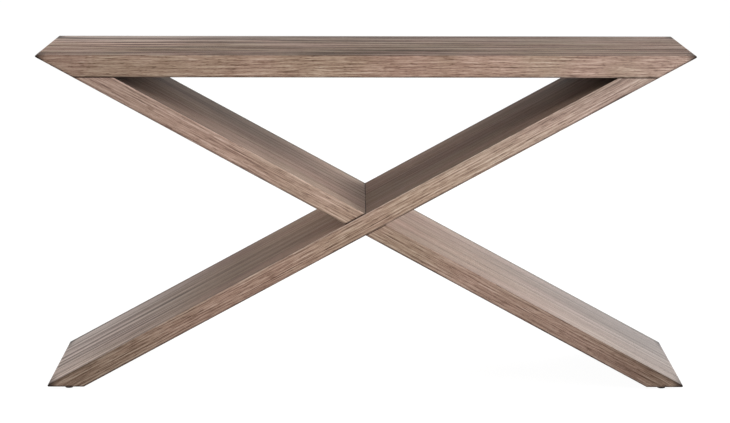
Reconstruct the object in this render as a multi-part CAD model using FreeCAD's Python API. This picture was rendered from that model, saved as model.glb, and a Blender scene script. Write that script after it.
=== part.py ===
import FreeCAD
import Part

import math
import os
from collections import namedtuple

from FreeCAD import Vector

# Sawbuck console table in solid oak: a thick top with pointed ends on two wide legs that cross in an X.
# The top and the legs are glued up from boards that lie side by side from the front to the back.
# Millimetres. The origin is on the floor under the middle of the table: +X runs along the top to the right,
# +Y runs from the front to the back and +Z is up.
# The right leg has its upper end on the right and its foot on the left, and the left leg mirrors it.

# The whole table, with lengths taken to the sharp corners that the tips had before they were blunted
TOP_LENGTH = 1533.0
TABLE_DEPTH = 457.0
TABLE_HEIGHT = 787.0
TOP_THICKNESS = 51.0
LEG_THICKNESS = 44.5
FOOT_SPAN = 1506.0
BOARD_COUNT = 5

# Sanded edges: the sharp tips across the table, and the long edges of the front and the back
TIP_RADIUS = 2.75
EDGE_CHAMFER = 1.0
CHAMFER_MOST_SHARE = 0.8

# Loose tenons between the top and each leg, one to a board
TENON_WIDTH = 40.0
TENON_THICKNESS = 12.0
TENON_SETBACK = 64.0
TENON_CHAMFER = 2.0
WOOD_OVER_TENON = 23.0
WOOD_UNDER_TENON = 8.0
GLUE_GAP = 0.1

# Adjustable levelers, a threaded stem moulded into a round pad, in a flanged insert pressed into each sole
LEVELER_FROM_TIP = 56.0
LEVELER_FROM_EDGE = 25.0
PAD_DIAMETER = 19.0
PAD_HEIGHT = 5.5
PAD_RIM_HEIGHT = 3.0
PAD_NECK_DIAMETER = 13.0
PAD_EDGE_CHAMFER = 1.2
PAD_REST_GAP = 1.5
STEM_DIAMETER = 6.0
STEM_IN_PAD = 4.0
STEM_CHAMFER = 0.8
STEM_END_ROOM = 1.5
WOOD_OVER_STEM = 5.0
INSERT_DIAMETER = 10.0
INSERT_LENGTH = 13.0
FLANGE_DIAMETER = 14.0
FLANGE_THICKNESS = 1.5
THREAD_CLEARANCE = 0.05
INSERT_CLEARANCE = 0.05
STEM_BORE_CLEARANCE = 0.5

# How far a cutting body runs past what it cuts, and how near two points count as one
CUT_OVERRUN = 5.0
SAME_POINT = 0.01

# Levels and half lengths
SOLE = PAD_HEIGHT + PAD_REST_GAP
UNDERSIDE = TABLE_HEIGHT - TOP_THICKNESS
HALF_TOP = TOP_LENGTH / 2
HALF_FEET = FOOT_SPAN / 2
FRONT = -TABLE_DEPTH / 2
BACK = TABLE_DEPTH / 2
BOARD_WIDTH = TABLE_DEPTH / BOARD_COUNT
LAP = (FRONT + BACK) / 2


def leg_angle():
    """Angle of a leg above the floor.

    The leg's lower face runs through the tip of the top, and its upper face through the tip of its foot
    on the other side, one leg thickness away.
    """
    run = HALF_TOP + HALF_FEET
    rise = TABLE_HEIGHT - SOLE
    return math.atan2(rise, run) + math.asin(LEG_THICKNESS / math.hypot(run, rise))


SLOPE = math.tan(leg_angle())


def lower_face_x(z):
    """Where the right leg's lower face is at a height. The end of the top lies in the same plane."""
    return HALF_TOP - (TABLE_HEIGHT - z) / SLOPE


def upper_face_x(z):
    """Where the right leg's upper face is at a height."""
    return -HALF_FEET + (z - SOLE) / SLOPE


# A corner of an outline in the XZ plane: a tip is blunted, and the side that follows a corner may be glued
Corner = namedtuple("Corner", ["x", "z", "tip", "glued"], defaults=[False, False])


def glued(corner):
    """The same corner, with the side from it to the next one glued to other wood."""
    return corner._replace(glued=True)


# Corners of the right leg, and of the diamond where the legs cross
FOOT_TIP = Corner(-HALF_FEET, SOLE, tip=True)
HEEL = Corner(lower_face_x(SOLE), SOLE)
OUTER_TOP = Corner(lower_face_x(UNDERSIDE), UNDERSIDE)
INNER_TOP = Corner(upper_face_x(UNDERSIDE), UNDERSIDE)
CROSS_HIGH = Corner(0, SOLE + HALF_FEET * SLOPE)
CROSS_LOW = Corner(0, TABLE_HEIGHT - HALF_TOP * SLOPE)
CROSS_MIDDLE = (CROSS_HIGH.z + CROSS_LOW.z) / 2
CROSS_RIGHT = Corner(lower_face_x(CROSS_MIDDLE), CROSS_MIDDLE)
CROSS_LEFT = Corner(-CROSS_RIGHT.x, CROSS_MIDDLE)

WHOLE_LEG = [FOOT_TIP, HEEL, glued(OUTER_TOP), INNER_TOP]
UPPER_LEG = [CROSS_RIGHT, glued(OUTER_TOP), INNER_TOP, glued(CROSS_HIGH)]
LOWER_LEG = [FOOT_TIP, HEEL, glued(CROSS_LOW), CROSS_LEFT]
TOP_OUTLINE = [
    Corner(-HALF_TOP, TABLE_HEIGHT, tip=True),
    Corner(-OUTER_TOP.x, UNDERSIDE),
    OUTER_TOP,
    Corner(HALF_TOP, TABLE_HEIGHT, tip=True),
]


def mirrored(outline):
    """The same outline for the left leg."""
    return [corner._replace(x=-corner.x) for corner in outline]


def points(outline, y):
    return [Vector(corner.x, y, corner.z) for corner in outline]


def blunt_arc(before, corner, after):
    """Arc of the tip radius that touches both sides of a sharp corner."""
    to_before = (before - corner).normalize()
    to_after = (after - corner).normalize()
    half_angle = to_before.getAngle(to_after) / 2
    reach = TIP_RADIUS / math.tan(half_angle)
    bisector = (to_before + to_after).normalize()
    nearest = TIP_RADIUS / math.sin(half_angle) - TIP_RADIUS
    return Part.Arc(
        corner + to_before * reach, corner + bisector * nearest, corner + to_after * reach
    )


def prism(outline, y_from, y_to):
    """Solid with this outline in the XZ plane, from one depth to another."""
    corners = points(outline, y_from)
    count = len(corners)
    arcs = {}
    for i, corner in enumerate(outline):
        if corner.tip:
            arcs[i] = blunt_arc(corners[i - 1], corners[i], corners[(i + 1) % count])
    edges = []
    for i in range(count):
        following = (i + 1) % count
        start = arcs[i].EndPoint if i in arcs else corners[i]
        end = arcs[following].StartPoint if following in arcs else corners[following]
        edges.append(Part.LineSegment(start, end).toShape())
        if following in arcs:
            edges.append(arcs[following].toShape())
    return Part.Face(Part.Wire(edges)).extrude(Vector(0, y_to - y_from, 0))


def edge_middle(edge):
    return edge.valueAt((edge.FirstParameter + edge.LastParameter) / 2)


def eased(solid, outline, y):
    """Bevels the edges of the face at depth y, apart from those that are glued to other wood."""
    corners = points(outline, y)
    glued_middles = []
    for i, corner in enumerate(outline):
        if corner.glued:
            glued_middles.append((corners[i] + corners[(i + 1) % len(corners)]) / 2)
    chosen = []
    for edge in solid.Edges:
        on_face = all(abs(vertex.Y - y) < SAME_POINT for vertex in edge.Vertexes)
        middle = edge_middle(edge)
        if on_face and all((middle - other).Length > SAME_POINT for other in glued_middles):
            chosen.append(edge)
    return solid.makeChamfer(min(EDGE_CHAMFER, TIP_RADIUS * CHAMFER_MOST_SHARE), chosen)


def board_span(index):
    """Depths of the front and the back of a board, counted from 0 at the front."""
    start = FRONT + index * BOARD_WIDTH
    return start, start + BOARD_WIDTH


def board(outline, index):
    """One board of an outline, with the edges eased that show on the table's front or back."""
    y_from, y_to = board_span(index)
    solid = prism(outline, y_from, y_to)
    if index == 0:
        solid = eased(solid, outline, y_from)
    if index == BOARD_COUNT - 1:
        solid = eased(solid, outline, y_to)
    return solid


def leg_boards(side):
    """Boards of one leg by name. The legs are halved into each other at the crossing.

    The right leg runs through on the front half of the depth and the left leg on the back half. A board in
    the other half is in two pieces, and a board across the halfway line has a notch.
    """
    right = side == "right"
    own = (lambda outline: outline) if right else mirrored
    crossing = prism(
        mirrored(WHOLE_LEG) if right else WHOLE_LEG,
        LAP if right else FRONT - CUT_OVERRUN,
        BACK + CUT_OVERRUN if right else LAP,
    )
    boards = {}
    for index in range(BOARD_COUNT):
        name = f"{side}_leg_board_{index + 1}"
        y_from, y_to = board_span(index)
        runs_through = y_to <= LAP + SAME_POINT if right else y_from >= LAP - SAME_POINT
        is_split = y_from >= LAP - SAME_POINT if right else y_to <= LAP + SAME_POINT
        if is_split:
            boards[name + "_upper"] = board(own(UPPER_LEG), index)
            boards[name + "_lower"] = board(own(LOWER_LEG), index)
        else:
            whole = board(own(WHOLE_LEG), index)
            boards[name] = whole if runs_through else whole.cut(crossing)
    return boards


def top_boards():
    boards = {}
    for index in range(BOARD_COUNT):
        boards[f"top_board_{index + 1}"] = board(TOP_OUTLINE, index)
    return boards


# Depth of a tenon in the top, and in the wedge of wood at the end of a leg
TENON_IN_TOP = TOP_THICKNESS - WOOD_OVER_TENON
TENON_IN_LEG = (TENON_SETBACK - TENON_THICKNESS / 2) * SLOPE - WOOD_UNDER_TENON


def tenon_block(x, y, gap):
    """Block across the joint under the top, as large as a tenon with a gap all round it."""
    half_thickness = TENON_THICKNESS / 2 + gap
    half_width = TENON_WIDTH / 2 + gap
    bottom = UNDERSIDE - TENON_IN_LEG - gap
    height = TENON_IN_LEG + TENON_IN_TOP + 2 * gap
    corner = Vector(x - half_thickness, y - half_width, bottom)
    return Part.makeBox(2 * half_thickness, 2 * half_width, height, corner)


def tenon(x, y):
    """Loose tenon, bevelled round both ends so that it starts easily in its mortises."""
    block = tenon_block(x, y, 0)
    box = block.BoundBox
    ends = []
    for edge in block.Edges:
        height = edge_middle(edge).z
        if min(height - box.ZMin, box.ZMax - height) < SAME_POINT:
            ends.append(edge)
    return block.makeChamfer(TENON_CHAMFER, ends)


def tenon_places(side):
    """Centres of the tenons at the upper end of one leg, one in the middle of each board."""
    x = OUTER_TOP.x - TENON_SETBACK
    places = []
    for index in range(BOARD_COUNT):
        y_from, y_to = board_span(index)
        places.append((x if side == "right" else -x, (y_from + y_to) / 2))
    return places


# Depth of the stem's hole above the sole, and the stem's length above its pad
STEM_BORE_RADIUS = STEM_DIAMETER / 2 + STEM_BORE_CLEARANCE
STEM_BORE_DEPTH = (LEVELER_FROM_TIP - STEM_BORE_RADIUS) * SLOPE - WOOD_OVER_STEM
STEM_REACH = STEM_BORE_DEPTH - STEM_END_ROOM


def leveler_places():
    """Axis of each leveler as (x, y), by the corner of the table that it stands under."""
    x = HALF_FEET - LEVELER_FROM_TIP
    return {
        "front_left": (-x, FRONT + LEVELER_FROM_EDGE),
        "front_right": (x, FRONT + LEVELER_FROM_EDGE),
        "back_left": (-x, BACK - LEVELER_FROM_EDGE),
        "back_right": (x, BACK - LEVELER_FROM_EDGE),
    }


def rod(x, y, z, radius, height):
    return Part.makeCylinder(radius, height, Vector(x, y, z))


def leveler_bore(x, y):
    """Hole in the sole for the insert, its flange and the stem above it."""
    stem = rod(x, y, SOLE - CUT_OVERRUN, STEM_BORE_RADIUS, CUT_OVERRUN + STEM_BORE_DEPTH)
    insert_radius = INSERT_DIAMETER / 2 + INSERT_CLEARANCE
    insert = rod(x, y, SOLE - CUT_OVERRUN, insert_radius, CUT_OVERRUN + INSERT_LENGTH)
    flange_radius = FLANGE_DIAMETER / 2 + INSERT_CLEARANCE
    flange = rod(x, y, SOLE - CUT_OVERRUN, flange_radius, CUT_OVERRUN + FLANGE_THICKNESS)
    return stem.multiFuse([insert, flange])


def leveler_insert(x, y):
    """Flanged sleeve, flush with the sole, that carries the stem's thread."""
    barrel = rod(x, y, SOLE, INSERT_DIAMETER / 2, INSERT_LENGTH)
    flange = rod(x, y, SOLE, FLANGE_DIAMETER / 2, FLANGE_THICKNESS)
    thread = rod(
        x, y, SOLE - CUT_OVERRUN, STEM_DIAMETER / 2 + THREAD_CLEARANCE, INSERT_LENGTH + 2 * CUT_OVERRUN
    )
    return barrel.fuse(flange).removeSplitter().cut(thread)


def leveler_stem(x, y):
    """Threaded stem with a bevelled upper end, from inside the pad to the top of its reach."""
    bottom = PAD_HEIGHT - STEM_IN_PAD
    stem = rod(x, y, bottom, STEM_DIAMETER / 2, STEM_IN_PAD + STEM_REACH)
    end = max(stem.Edges, key=lambda e: e.BoundBox.ZMin)
    return stem.makeChamfer(STEM_CHAMFER, [end])


def leveler_pad(x, y):
    """Round pad turned from a profile: a bevelled foot, an upright rim and a slope up to the stem's neck."""
    radius = PAD_DIAMETER / 2
    profile = [
        Vector(0, 0, 0),
        Vector(radius - PAD_EDGE_CHAMFER, 0, 0),
        Vector(radius, 0, PAD_EDGE_CHAMFER),
        Vector(radius, 0, PAD_RIM_HEIGHT),
        Vector(PAD_NECK_DIAMETER / 2, 0, PAD_HEIGHT),
        Vector(0, 0, PAD_HEIGHT),
    ]
    face = Part.Face(Part.makePolygon(profile + profile[:1]))
    pad = face.revolve(Vector(0, 0, 0), Vector(0, 0, 1), 360)
    pad.translate(Vector(x, y, 0))
    socket_radius = STEM_DIAMETER / 2 + THREAD_CLEARANCE
    socket = rod(x, y, PAD_HEIGHT - STEM_IN_PAD, socket_radius, STEM_IN_PAD + CUT_OVERRUN)
    return pad.cut(socket)


def drilled(solid, cutters):
    """The solid with every hole cut that reaches it."""
    for cutter in cutters:
        if solid.BoundBox.intersect(cutter.BoundBox):
            solid = solid.cut(cutter)
    return solid


def build():
    """Every piece of the table by name."""
    wood = {**top_boards(), **leg_boards("right"), **leg_boards("left")}
    holes = []
    pieces = {}
    for side in ("right", "left"):
        places = tenon_places(side)
        pieces[f"{side}_leg_tenons"] = Part.makeCompound([tenon(x, y) for x, y in places])
        holes += [tenon_block(x, y, GLUE_GAP) for x, y in places]
    levelers = leveler_places()
    holes += [leveler_bore(x, y) for x, y in levelers.values()]
    pieces["leveler_inserts"] = Part.makeCompound([leveler_insert(x, y) for x, y in levelers.values()])
    for corner, (x, y) in levelers.items():
        pieces[f"{corner}_leveler_stem"] = leveler_stem(x, y)
        pieces[f"{corner}_leveler_pad"] = leveler_pad(x, y)
    for name, solid in wood.items():
        pieces[name] = drilled(solid, holes)
    return pieces


def main():
    os.makedirs("parts", exist_ok=True)
    pieces = build()
    for name, shape in pieces.items():
        shape.exportStep(os.path.join("parts", name + ".step"))
    print(f"leg angle {math.degrees(leg_angle()):.2f} degrees, {len(pieces)} pieces")


main()
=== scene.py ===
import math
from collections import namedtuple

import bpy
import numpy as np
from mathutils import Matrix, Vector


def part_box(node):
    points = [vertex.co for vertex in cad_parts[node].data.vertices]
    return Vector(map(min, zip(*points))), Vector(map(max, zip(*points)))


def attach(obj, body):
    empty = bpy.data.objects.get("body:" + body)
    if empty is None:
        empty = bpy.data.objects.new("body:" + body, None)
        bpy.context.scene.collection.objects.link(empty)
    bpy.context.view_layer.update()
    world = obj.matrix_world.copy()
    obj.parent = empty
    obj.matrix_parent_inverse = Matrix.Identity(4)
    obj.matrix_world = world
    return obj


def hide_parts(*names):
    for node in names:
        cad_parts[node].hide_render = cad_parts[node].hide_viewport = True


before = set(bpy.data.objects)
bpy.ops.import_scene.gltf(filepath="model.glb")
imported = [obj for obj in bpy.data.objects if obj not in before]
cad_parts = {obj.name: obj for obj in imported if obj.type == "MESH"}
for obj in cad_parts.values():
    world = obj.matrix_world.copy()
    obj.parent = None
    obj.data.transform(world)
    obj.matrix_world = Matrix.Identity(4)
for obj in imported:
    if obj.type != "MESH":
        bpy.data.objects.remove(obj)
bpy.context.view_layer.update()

# %% [markdown]
# # A sawbuck console table in weathered oak
# The packed solids are in the scene, in metres, standing on the floor at z = 0 with the front at -Y.
# This lesson dresses them: every oak board is made again with softened edges and its own grain, and the
# four levelers get a real screw thread and a moulded foot.

# %% [markdown]
# ## The table's sizes
# A sawbuck's shape follows from a few sizes: its length, depth and height, the planks' thickness and the
# feet's span. The legs lean at the one angle that lets the slab's end faces run on into the legs' lower
# faces, so the angle is worked out here and never typed in.
# Corners read off the meshes would do too, but nobody could see where a number comes from.

# %% Driving sizes and the leg's angle
HALF_LENGTH = 1.533 / 2
DEPTH = 0.457
HEIGHT = 0.787
SLAB = 0.051
PLANK = 0.0445
HALF_FEET = 1.506 / 2
SOLE = 0.007
BOARDS = 5
BOARD_WIDTH = DEPTH / BOARDS
UNDERSIDE = HEIGHT - SLAB

def leg_lean():
    """The angle of the line from the foot's tip to the slab's, turned by asin(thickness / distance) for the
    plank."""
    run = HALF_LENGTH + HALF_FEET
    rise = HEIGHT - SOLE
    return math.atan2(rise, run) + math.asin(PLANK / math.hypot(run, rise))

LEAN = leg_lean()
ALONG = np.array([math.cos(LEAN), math.sin(LEAN)])
UP_OFF = np.array([-math.sin(LEAN), math.cos(LEAN)])
print("legs lean", round(math.degrees(LEAN), 2), "degrees")

# %% [markdown]
# ## Corners in the side view
# Seen from the front, a plank is a band between two parallel lines. The upper line starts at the foot's
# tip, and the lower line ends at the slab's tip. Every other corner is where one of those lines meets a
# level or the mirror line of the other leg, so six small crossings give the whole table.

# %% Corners of the right leg and the slab
FOOT_TIP = np.array([-HALF_FEET, SOLE])
SLAB_TIP = np.array([HALF_LENGTH, HEIGHT])

X, Z = 0, 1

def on_leg(point, axis, value):
    """The point at the given x or z on the line that runs along the leg through the given point."""
    return point + ALONG * (value - point[axis]) / ALONG[axis]

HEEL = on_leg(SLAB_TIP, Z, SOLE)
OUTER_TOP = on_leg(SLAB_TIP, Z, UNDERSIDE)
INNER_TOP = on_leg(FOOT_TIP, Z, UNDERSIDE)
CROSS_HIGH = on_leg(FOOT_TIP, X, 0.0)
CROSS_LOW = on_leg(SLAB_TIP, X, 0.0)
CROSS_RIGHT = on_leg(SLAB_TIP, Z, (CROSS_HIGH[Z] + CROSS_LOW[Z]) / 2)
CROSS_LEFT = CROSS_RIGHT * (-1, 1)
low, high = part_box("right_leg_board_1")
print("foot tip and outer top at x", np.round([FOOT_TIP[0], OUTER_TOP[0]], 4),
      "and the solid's ends at", np.round([low[0], high[0]], 4))

# %% [markdown]
# ## Rungs along a board
# A board is drawn like a ladder: pairs of points, one on its lower line and one on its upper line, from one
# end to the other. Between two known rungs the rest are shared out evenly, with a few close ones at both
# ends, where the wear needs finer steps. A box in even slices would do too, but would not follow the
# slanting cuts.

# %% Ladders from cut to cut
RUNG_STEP = 0.014
CLOSE_RUNGS = np.array([0.0015, 0.004, 0.009])
CLEAR = 1.3
LOW_CUT = (CROSS_LOW, CROSS_LEFT)
HIGH_CUT = (CROSS_RIGHT, CROSS_HIGH)
TOP_CUT = (OUTER_TOP, INNER_TOP)

def ladder(*knots):
    """All rungs through the known ones: each stretch is shared out evenly, with three close rungs at both
    ends.

    The even rungs keep clear of the close ones, by CLEAR times the furthest of those."""
    knots = [np.asarray(k, float) for k in knots]
    rungs = [knots[0][None]]
    for a, b in zip(knots[:-1], knots[1:]):
        length = np.linalg.norm(b - a, axis=1).max()
        close = CLOSE_RUNGS / length
        even = np.linspace(0, 1, max(2, int(length / RUNG_STEP)) + 1)[1:-1]
        even = even[(even > close[-1] * CLEAR) & (even < 1 - close[-1] * CLEAR)]
        share = np.concatenate([close, even, 1 - close[::-1], [1.0]])[:, None, None]
        rungs.append(a + (b - a) * share)
    return np.concatenate(rungs)

crossing = ladder(LOW_CUT, HIGH_CUT)[1:-1]
upper_half = ladder(HIGH_CUT, TOP_CUT)
print("rungs in the crossing and above it:", len(crossing), len(upper_half))

# %% [markdown]
# ## Blunt tips
# At a sharp tip the rungs close in on a small round nose, because a knife edge in oak never stays sharp.
# With the noses every kind of board has its ladder. The halved board in the middle of a leg does without
# the two rungs in the planes of its notch, so that the cut lies on no edge.

# %% Noses, and a ladder for each kind of board
NOSE = 0.00275
NOSE_FLAT = 0.14
NOSE_RUNGS = 6

def nose_rungs(tip, lower_way, upper_way):
    """Rungs round a blunt tip: two points walk apart along the circle that touches both sides.

    They start NOSE_FLAT radians to each side of the circle's foremost point."""
    lower_way, upper_way = (np.asarray(w, float) / np.linalg.norm(w) for w in (lower_way, upper_way))
    inward = (lower_way + upper_way) / np.linalg.norm(lower_way + upper_way)
    half = math.acos(float(lower_way @ inward))
    centre = np.asarray(tip) + inward * NOSE / math.sin(half)
    swing = np.linspace(NOSE_FLAT, math.pi / 2 - half, NOSE_RUNGS)[:, None]
    sides = [way - inward * (way @ inward) for way in (lower_way, upper_way)]
    sides = [side / np.linalg.norm(side) for side in sides]
    lower, upper = (centre + NOSE * (side * np.sin(swing) - inward * np.cos(swing)) for side in sides)
    return np.stack([lower, upper], axis=1)

foot_nose = nose_rungs(FOOT_TIP, (1, 0), ALONG)
over_heel = HEEL + UP_OFF * PLANK
lower_half = np.concatenate([foot_nose[:-1], ladder(foot_nose[-1], (HEEL, over_heel), LOW_CUT)])
whole_leg = np.concatenate([lower_half, crossing, upper_half])
halved_leg = np.concatenate([lower_half[:-1], crossing, upper_half[1:]])
left_nose = nose_rungs(SLAB_TIP * (-1, 1), ALONG * (1, -1), (1, 0))
over_joint = (OUTER_TOP * (-1, 1), (-OUTER_TOP[0], HEIGHT))
slab_start = np.concatenate([left_nose[:-1], ladder(left_nose[-1], over_joint)])
slab_end = slab_start[::-1] * (-1, 1)
slab_mid = ladder(slab_start[-1], slab_end[0])[1:-1]
slab = np.concatenate([slab_start, slab_mid, slab_end])
print("rungs in a whole leg, its lower half and the slab:", len(whole_leg), len(lower_half), len(slab))

# %% [markdown]
# ## The section of a board
# The cross-section is a rectangle with its corners taken off in two small steps, which catches light as a
# sanded arris does. Only the two outer arrises of the table are softened. The glue lines between boards
# keep a hairline, so that a close look finds the joint.
# A bevel modifier could soften the edges too, but it can't leave the glued ones alone as simply.

# %% Section loop
EASED = 0.0013
HAIRLINE = 0.0001
EASE_SHARE = 0.35
ACROSS = np.array([0, 0.03, 0.1, 0.2, 0.35, 0.45, 0.55, 0.65, 0.8, 0.9, 0.97, 1])
UPWARDS = np.array([0, 0.06, 0.25, 0.5, 0.75, 0.83, 0.91, 0.96, 1])
STEP_IN = 1 - math.sqrt(0.5)

def section(thick, front, back):
    """The closed section loop: (distance up the rung, distance across the board) for each point and rung.

    thick is the rungs' length, as a column; front and back are the two easings, which take no more than
    EASE_SHARE of it. Straight sides are shared out by ACROSS and UPWARDS, and each corner has one point at
    STEP_IN of its easing."""
    width = BOARD_WIDTH
    ease = [np.minimum(e, EASE_SHARE * thick) for e in (front, back)]
    y_side = ease[0] + (width - ease[0] - ease[1]) * ACROSS
    front_up = ease[0] + (thick - 2 * ease[0]) * UPWARDS
    back_up = ease[1] + (thick - 2 * ease[1]) * UPWARDS
    nick = [e * STEP_IN for e in ease]
    up = [0 * y_side, nick[1], back_up, thick - nick[1], thick + 0 * y_side,
          thick - nick[0], front_up[:, ::-1], nick[0]]
    across = [y_side, width - nick[1], width + 0 * back_up, width - nick[1], y_side[:, ::-1], nick[0],
              0 * front_up, nick[0]]
    return np.concatenate(up, axis=1), np.concatenate(across, axis=1)

print("points round a section:", section(np.array([[PLANK]]), EASED, HAIRLINE)[0].shape[1])

# %% [markdown]
# ## From loops to a closed surface
# The section is carried along the ladder: each of its points keeps its distance from the front or back, and
# from the lower or upper line. Neighbouring loops are joined by quads and the two ends are closed by fans,
# which serves the turned parts further down too.

# %% Surface from loops
def carried(rungs, start_y, front, back):
    """Points [rung, loop]: lower end of the rung + its direction times the section's height, and y beside
    it."""
    lower, upper = rungs[:, 0], rungs[:, 1]
    thick = np.linalg.norm(upper - lower, axis=1, keepdims=True)
    up, across = section(thick, front, back)
    way = (upper - lower) / thick
    xz = lower[:, None] + way[:, None] * up[..., None]
    return np.stack([xz[..., 0], start_y + across, xz[..., 1]], axis=-1)

def closed_tube(name, points):
    """A mesh from points [loop, place]: quads between neighbouring loops, and on each end a fan from its
    middle.

    If the enclosed volume comes out negative, every face is turned round, so that all look outwards."""
    rows, loop = points.shape[:2]
    ring = np.arange(rows * loop).reshape(rows, loop)
    after = np.roll(ring, -1, axis=1)
    quads = np.stack([ring[:-1], after[:-1], after[1:], ring[1:]], axis=-1).reshape(-1, 4)
    first = np.stack([after[0], ring[0], np.full(loop, rows * loop)], axis=-1)
    last = np.stack([ring[-1], after[-1], np.full(loop, rows * loop + 1)], axis=-1)
    flat = np.concatenate([points.reshape(-1, 3), [points[0].mean(axis=0), points[-1].mean(axis=0)]])
    corners = flat[np.concatenate([quads[:, :3], quads[:, [0, 2, 3]], first, last])]
    volume = np.einsum("ij,ij->", corners[:, 0], np.cross(corners[:, 1], corners[:, 2]))
    way = 1 if volume > 0 else -1
    mesh = bpy.data.meshes.new(name)
    faces = [face for kind in (quads, first, last) for face in kind[:, ::way].tolist()]
    mesh.from_pydata(flat.tolist(), [], faces)
    return mesh

def placed(name, data):
    """A new object with this data, linked into the scene at the origin."""
    thing = bpy.data.objects.new(name, data)
    bpy.context.scene.collection.objects.link(thing)
    return thing

def shown(name, points, body, slot, *nodes):
    """Puts a closed surface into the scene as a piece that rides on a body and stands for the given
    solids."""
    piece = placed(name, closed_tube(name, points))
    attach(piece, body)
    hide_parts(*nodes)
    return piece

print("loops and places of a whole leg board:", carried(whole_leg, 0.0, EASED, HAIRLINE).shape[:2])

# %% [markdown]
# ## Which board is which
# The front two boards of the right leg run through, the middle one is halved, and the back two stop at the
# crossing. The left leg is the same seen from behind. A board's number gives its place across the depth,
# counted from the front.

# %% All nineteen boards
HALVED = (BOARDS + 1) // 2
Board = namedtuple("Board", "piece kind mirror number")
boards = {}

def oak_board(node, rungs, kind, mirror, number):
    """Enters one board, made from its ladder; mirror -1 turns the right leg's side view into the left
    leg's."""
    start_y = -DEPTH / 2 + (number - 1) * BOARD_WIDTH
    front, back = (EASED if number == outermost else HAIRLINE for outermost in (1, BOARDS))
    points = carried(rungs, start_y, front, back)
    points[..., 0] *= mirror
    piece = shown(node + "_oak", points, "table", "weathered_oak", node)
    boards[node] = Board(piece, kind, mirror, number)

for number in range(1, BOARDS + 1):
    oak_board(f"top_board_{number}", slab, "top", 1, number)
    for leg, mirror, through in (("right", 1, number <= HALVED), ("left", -1, number >= HALVED)):
        name = f"{leg}_leg_board_{number}"
        if through:
            oak_board(name, halved_leg if number == HALVED else whole_leg, "leg", mirror, number)
            continue
        for half, rungs in (("lower", lower_half), ("upper", upper_half)):
            oak_board(f"{name}_{half}", rungs, "leg", mirror, number)
print(len(boards), "boards,", sum(len(board.piece.data.polygons) for board in boards.values()), "faces")

# %% [markdown]
# ## The halving
# Where the planks cross, the middle board of each leg is cut half through, and the other leg's middle board
# sits in the notch. It is cut as a joiner cuts it, by taking a shape away from the finished board. The cut
# is applied at once, because the next steps write their values to the vertices that it makes.

# %% Cutting the notches
BLOCK_REACH = 0.2

def cut(piece, points):
    """Takes the closed shape with these points away from a board."""
    mesh = closed_tube("cutter", points)
    cutter = placed("cutter", mesh)
    saw = piece.modifiers.new("cut", "BOOLEAN")
    saw.operation, saw.solver, saw.object = "DIFFERENCE", "EXACT", cutter
    bpy.context.view_layer.update()
    result = bpy.data.meshes.new_from_object(piece.evaluated_get(bpy.context.evaluated_depsgraph_get()))
    piece.modifiers.clear()
    old, piece.data = piece.data, result
    name = old.name
    bpy.data.objects.remove(cutter)
    bpy.data.meshes.remove(old)
    bpy.data.meshes.remove(mesh)
    result.name = name

def crossing_block(mirror, start_y, end_y):
    """The other leg's plank as a plain block over part of the depth: its side-view corners carried along
    y."""
    reach = ALONG * BLOCK_REACH
    band = np.array([CROSS_LEFT - reach, CROSS_HIGH + reach, CROSS_RIGHT + reach, CROSS_LOW - reach])
    band[:, 0] *= mirror
    return np.stack([np.insert(band, 1, y, axis=1) for y in (start_y, end_y)])

notched = [boards[f"{leg}_leg_board_{HALVED}"].piece for leg in ("right", "left")]
cut(notched[0], crossing_block(-1, 0.0, BOARD_WIDTH))
cut(notched[1], crossing_block(1, -BOARD_WIDTH, 0.0))
print("faces of the notched boards:", [len(piece.data.polygons) for piece in notched])

# %% [markdown]
# ## The leveler holes
# Each sole is drilled in three steps for an insert: a shallow recess for its flange, a hole for its body,
# and a narrow one above for the screw's end. The drill is a turned shape.

# %% Drilling the soles
PAD_X = 0.697
PAD_Y = 0.2035
LEVELERS = {"front_left": (-PAD_X, -PAD_Y, "right_leg_board_1"),
            "front_right": (PAD_X, -PAD_Y, "left_leg_board_1_lower"),
            "back_left": (-PAD_X, PAD_Y, "right_leg_board_5_lower"),
            "back_right": (PAD_X, PAD_Y, "left_leg_board_5")}
BORE = [(0.00705, -0.002), (0.00705, 0.00155), (0.00505, 0.00155), (0.00505, 0.0131), (0.0035, 0.0131),
        (0.0035, 0.0224)]

def turned(profile, x, y, z, sides=48):
    """A turned surface: radius and height from the profile, carried round the upright axis through (x,
    y)."""
    radius, height = np.array(profile).T
    angle = np.linspace(0, 2 * math.pi, sides, endpoint=False)
    ring = np.stack([np.cos(angle), np.sin(angle)], axis=-1)
    flat = radius[:, None, None] * ring + (x, y)
    level = np.broadcast_to((z + height)[:, None, None], (*flat.shape[:2], 1))
    return np.concatenate([flat, level], axis=-1)

for x, y, node in LEVELERS.values():
    cut(boards[node].piece, turned(BORE, x, y, SOLE))
print("the last drilled board has", len(boards[node].piece.data.polygons), "faces")

# %% [markdown]
# ## Mortises under the top
# A loose beech tenon ties each leg board to the board over it. Nothing shows once the joint is closed, but
# the tenon needs its hole in both boards, so that no two solids share a place. One plain block, a glue film
# wider than the tenon all round, is taken from both.

# %% Cutting the mortises
TENON_HALF = np.array([0.006, 0.020])
GLUE_FILM = 0.0001
SETBACK = 0.064
OVER_TENON = 0.023
UNDER_TENON = 0.008
IN_TOP = SLAB - OVER_TENON
IN_LEG = (SETBACK - TENON_HALF[0]) * ALONG[1] / ALONG[0] - UNDER_TENON

def mortise(x, y):
    """The block of one mortise: a rectangle round (x, y), carried from its foot in the leg to its end in
    the slab."""
    rectangle = (x, y) + (TENON_HALF + GLUE_FILM) * [(-1, -1), (1, -1), (1, 1), (-1, 1)]
    levels = (UNDERSIDE - IN_LEG - GLUE_FILM, UNDERSIDE + IN_TOP + GLUE_FILM)
    return np.stack([np.insert(rectangle, 2, z, axis=1) for z in levels])

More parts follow.
